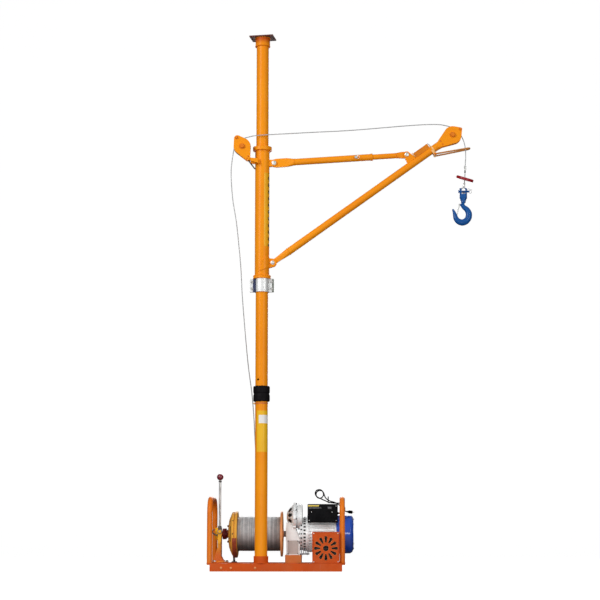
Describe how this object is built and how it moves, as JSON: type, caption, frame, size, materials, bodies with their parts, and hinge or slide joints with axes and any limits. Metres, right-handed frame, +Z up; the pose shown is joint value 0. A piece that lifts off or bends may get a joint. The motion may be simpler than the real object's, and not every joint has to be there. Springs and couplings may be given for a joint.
{
  "type": "portable mini crane",
  "caption": "Floor-to-ceiling prop mast on a winch base with a slewing tubular boom, telescopic tie, wire hoist rope and swivel hook",
  "frame": {"origin": "on the floor at the mast's axis, under the front rail", "axes": "+X along the boom in its stored direction, +Y from the mast toward the winch drum, +Z up"},
  "size_m": [1.6283, 0.52, 3.3],
  "materials": {
    "orange_paint": "semi-gloss orange enamel",
    "red_orange_paint": "semi-gloss red-orange enamel",
    "yellow_paint": "glossy yellow enamel",
    "zinc": "zinc plated",
    "steel": "bright steel",
    "rope_steel": "galvanised wire",
    "cast_alloy": "as-cast silver",
    "fin_alloy": "extruded silver",
    "blue_enamel": "glossy blue enamel",
    "black_plastic": "black",
    "black_rubber": "black cable jacket",
    "red_enamel": "red enamel",
    "maroon_plastic": "glossy maroon"
  },
  "bodies": {
    "base": {"front_rail": "red_orange_paint", "rear_rail": "red_orange_paint", "cross_rails": "red_orange_paint", "left_hoop": "red_orange_paint", "right_hoop": "red_orange_paint", "mast_socket": "red_orange_paint", "lower_mast": "orange_paint", "upper_mast": "orange_paint", "mast_coupling": "black_plastic", "ceiling_collar": "orange_paint", "ceiling_plate": "orange_paint", "height_clamp": "zinc", "drum_pedestal": "yellow_paint", "gearbox_foot": "red_orange_paint", "gearbox_column": "cast_alloy", "gearbox_case": "cast_alloy", "gearbox_cover": "cast_alloy", "motor_body": "fin_alloy", "motor_shield": "blue_enamel", "fan_cover": "blue_enamel", "control_box": "black_plastic", "vent_box": "red_orange_paint", "vent_cover": "red_orange_paint", "rope_drop": "rope_steel", "lead_cord": "black_rubber", "lead_tie": "black_plastic", "lead_plug": "black_plastic", "lead_gland": "black_plastic"},
    "clutch_lever": {"lever_arm": "steel", "lever_knob": "maroon_plastic"},
    "drum": {"drum_barrel": "orange_paint", "brake_wheel": "yellow_paint", "rope_pack": "rope_steel"},
    "sleeve": {"slew_sleeve": "orange_paint", "boom_lug": "orange_paint", "tie_lug": "orange_paint", "rear_bracket": "orange_paint", "rear_cheeks": "orange_paint", "rear_axle": "steel"},
    "rear_wheel": {"rear_sheave": "steel"},
    "boom": {"boom_tube": "orange_paint", "boom_tie_lug": "orange_paint", "head_cheeks": "orange_paint", "head_axle": "steel", "limit_switch": "orange_paint", "limit_band": "orange_paint", "rope_top": "rope_steel"},
    "head_wheel": {"head_sheave": "steel"},
    "limit_lever": {"limit_arm": "orange_paint"},
    "tie_tube": {"tie_outer": "orange_paint"},
    "tie_rod": {"tie_inner": "orange_paint"},
    "hook_line": {"rope_fall": "rope_steel", "rope_ferrules": "zinc", "stop_disc": "red_enamel", "hook_shackle": "blue_enamel"},
    "hook": {"hook": "blue_enamel"},
    "latch": {"hook_latch": "zinc"}
  },
  "joints": [
    {"name": "boom_slew", "type": "hinge", "parent": "base", "child": "sleeve", "pos_m": [0, 0, 1.766], "axis": [0, 0, 1], "range_deg": [-90, 90], "deforming": ["rope_drop"]},
    {"name": "rear_sheave_spin", "type": "hinge", "parent": "sleeve", "child": "rear_wheel", "pos_m": [-0.122, -0.056, 2.584], "axis": [0, 1, 0], "continuous": true},
    {"name": "boom_luff", "type": "hinge", "parent": "sleeve", "child": "boom", "pos_m": [0.065, 0, 1.865], "axis": [0, -1, 0], "range_deg": [-5, 5], "deforming": ["rope_top"]},
    {"name": "tie_pivot", "type": "hinge", "parent": "sleeve", "child": "tie_tube", "pos_m": [0.073, 0, 2.491], "axis": [0, -1, 0], "range_deg": [-5.6, 5.6]},
    {"name": "tie_slide", "type": "slide", "parent": "tie_tube", "child": "tie_rod", "axis": [0.9983, 0, 0.0584], "range_m": [-0.058, 0.058]},
    {"name": "head_sheave_spin", "type": "hinge", "parent": "boom", "child": "head_wheel", "pos_m": [1.178, 0, 2.661], "axis": [0, 1, 0], "continuous": true},
    {"name": "limit_lift", "type": "hinge", "parent": "boom", "child": "limit_lever", "pos_m": [1.06799, 0, 2.53806], "axis": [0, -1, 0], "range_deg": [0, 7]},
    {"name": "hook_swing", "type": "hinge", "parent": "boom", "child": "hook_line", "pos_m": [1.2423, 0, 2.674], "axis": [0, -1, 0], "range_deg": [-6, 6]},
    {"name": "hook_swivel", "type": "hinge", "parent": "hook_line", "child": "hook", "pos_m": [1.238, 0, 2.25], "axis": [0, 0, 1], "continuous": true},
    {"name": "latch_turn", "type": "hinge", "parent": "hook", "child": "latch", "pos_m": [1.214, 0, 2.223], "axis": [0, -1, 0], "range_deg": [0, 30], "stiffness_Nm_per_rad": 0.1, "springref_deg": -5.73},
    {"name": "clutch_throw", "type": "hinge", "parent": "base", "child": "clutch_lever", "pos_m": [-0.256, 0.118, 0.236], "axis": [0, 1, 0], "range_deg": [-5, 8]},
    {"name": "drum_spin", "type": "hinge", "parent": "base", "child": "drum", "pos_m": [0, 0.205, 0.222], "axis": [1, 0, 0], "continuous": true}
  ],
  "couplings": [
    {"joint": "tie_pivot", "follows": "boom_luff", "ratio": 1.0543},
    {"joint": "tie_slide", "follows": "boom_luff", "m_per_rad": -0.6245}
  ]
}
